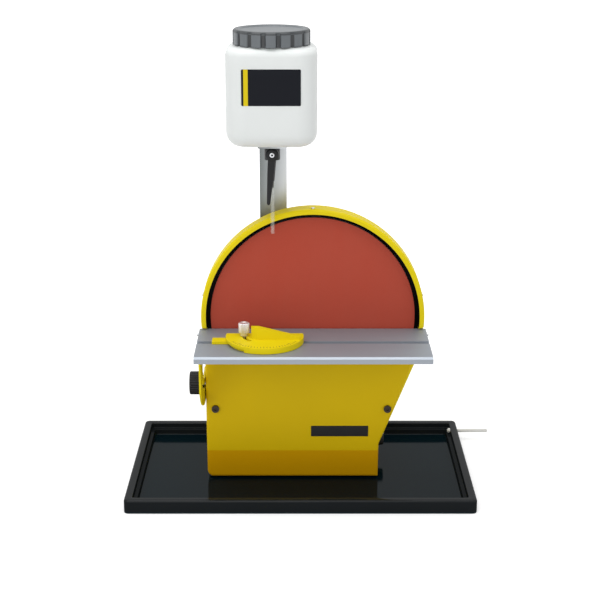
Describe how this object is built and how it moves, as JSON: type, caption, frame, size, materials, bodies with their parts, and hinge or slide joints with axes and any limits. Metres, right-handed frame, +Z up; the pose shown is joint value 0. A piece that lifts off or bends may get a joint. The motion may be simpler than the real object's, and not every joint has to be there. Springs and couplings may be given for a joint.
{
  "type": "benchtop disc sander",
  "caption": "Benchtop disc sander with tilting table, mitre gauge, belt-driven disc, water bottle with tap and drip pipe, and a drip tray.",
  "frame": {"origin": "middle of the drip tray's underside, on the bench", "axes": "+Z up, -Y towards the operator at the table, +X to the operator's right"},
  "size_m": [0.462, 0.249, 0.5605],
  "materials": {
    "yellow_paint": "yellow powder coat, semi-gloss",
    "tray_black": "black moulded plastic, glossy floor",
    "red_abrasive": "red-brown abrasive cloth",
    "planed_aluminium": "planed aluminium, fine lines",
    "bright_steel": "turned or zinc-plated steel",
    "grey_steel": "rolled flat steel, brushed",
    "dark_steel": "blackened steel fasteners",
    "black_plastic": "black moulded plastic",
    "grey_plastic": "dark grey ribbed plastic",
    "bottle_plastic": "milky translucent plastic",
    "pale_plastic": "pale moulded plastic",
    "clear_plastic": "clear plastic pipe",
    "red_plastic": "red rocker",
    "green_board": "circuit board",
    "rubber": "black rubber"
  },
  "bodies": {
    "machine": {"tray": "tray_black", "drain_spout": "pale_plastic", "drain_nut": "pale_plastic", "housing": "yellow_paint", "guard_screws": "bright_steel", "front_cover": "yellow_paint", "cover_screws": "dark_steel", "name_plate": "black_plastic", "base_plate": "bright_steel", "rubber_feet": "rubber", "foot_screws": "bright_steel", "rear_cover": "yellow_paint", "rear_cover_screws": "dark_steel", "dust_port": "black_plastic", "pivot_pins": "bright_steel", "bearing_block": "planed_aluminium", "block_screws": "dark_steel", "front_bearing": "bright_steel", "rear_bearing": "bright_steel", "drive_belt": "rubber", "motor_can": "bright_steel", "motor_end_cap": "black_plastic", "motor_bracket": "bright_steel", "motor_screws": "dark_steel", "control_board": "green_board", "switch_frame": "black_plastic", "dial_shaft": "bright_steel", "cable_gland": "black_plastic", "clamp_stud": "bright_steel", "water_post": "grey_steel", "post_screws": "dark_steel", "water_bottle": "bottle_plastic", "bottle_label": "black_plastic", "tap_body": "black_plastic", "tap_nut": "black_plastic", "drip_pipe": "clear_plastic"},
    "disc_set": {"spindle": "bright_steel", "retaining_ring": "dark_steel", "backing_disc": "planed_aluminium", "abrasive_disc": "red_abrasive", "hub_screws": "dark_steel", "spindle_pulley": "black_plastic"},
    "rotor_set": {"motor_rotor": "bright_steel", "motor_pulley": "bright_steel"},
    "table_set": {"table": "planed_aluminium", "tilt_quadrant": "yellow_paint", "quadrant_screws": "dark_steel"},
    "clamp": {"clamp_knob": "black_plastic"},
    "gauge_slider": {"gauge_bar": "yellow_paint", "gauge_pivot": "bright_steel", "gauge_stud": "bright_steel"},
    "gauge_swing": {"gauge_head": "yellow_paint", "gauge_grip": "yellow_paint"},
    "gauge_clamp": {"gauge_knob": "bright_steel"},
    "seal": {"lid_seal": "pale_plastic"},
    "lid": {"bottle_lid": "grey_plastic"},
    "lever": {"tap_lever": "black_plastic"},
    "rocker": {"switch_rocker": "red_plastic"},
    "dial": {"speed_dial": "black_plastic"}
  },
  "joints": [
    {"name": "disc_spin", "type": "hinge", "parent": "machine", "child": "disc_set", "pos_m": [0.015, 0, 0.2105], "axis": [0, 1, 0], "continuous": true},
    {"name": "motor_spin", "type": "hinge", "parent": "machine", "child": "rotor_set", "pos_m": [0.015, 0.03, 0.046], "axis": [0, 1, 0], "continuous": true},
    {"name": "table_tilt", "type": "hinge", "parent": "machine", "child": "table_set", "pos_m": [0.015, -0.0185, 0.19], "axis": [1, 0, 0], "range_deg": [-10, 50]},
    {"name": "clamp_turn", "type": "hinge", "parent": "machine", "child": "clamp", "pos_m": [-0.1291, -0.0151, 0.12509], "axis": [1, 0, 0], "range_deg": [0, 180]},
    {"name": "gauge_slide", "type": "slide", "parent": "table_set", "child": "gauge_slider", "axis": [1, 0, 0], "range_m": [-0.04, 0.14]},
    {"name": "head_swivel", "type": "hinge", "parent": "gauge_slider", "child": "gauge_swing", "pos_m": [-0.0425, -0.063, 0.2], "axis": [0, 0, 1], "range_deg": [-45, 45]},
    {"name": "gauge_knob_turn", "type": "hinge", "parent": "gauge_slider", "child": "gauge_clamp", "pos_m": [-0.067, -0.063, 0.21], "axis": [0, 0, 1], "range_deg": [0, 270]},
    {"name": "lid_lift", "type": "slide", "parent": "machine", "child": "seal", "axis": [0, 0, 1], "range_m": [0, 0.0095]},
    {"name": "lid_turn", "type": "hinge", "parent": "seal", "child": "lid", "pos_m": [-0.033, -0.024, 0.556], "axis": [0, 0, 1], "range_deg": [0, 540]},
    {"name": "tap_turn", "type": "hinge", "parent": "machine", "child": "lever", "pos_m": [-0.033, -0.036, 0.4164], "axis": [0, 1, 0], "range_deg": [0, 90]},
    {"name": "power_rock", "type": "hinge", "parent": "machine", "child": "rocker", "pos_m": [0.0974, 0.066, 0.028], "axis": [0, 0, 1], "range_deg": [0, 20]},
    {"name": "speed_turn", "type": "hinge", "parent": "machine", "child": "dial", "pos_m": [0.1024, 0.037, 0.028], "axis": [1, 0, 0], "range_deg": [0, 270]}
  ],
  "couplings": [
    {"joint": "motor_spin", "follows": "disc_spin", "ratio": 3.75},
    {"joint": "lid_lift", "follows": "lid_turn", "m_per_rad": 0.00095493}
  ]
}
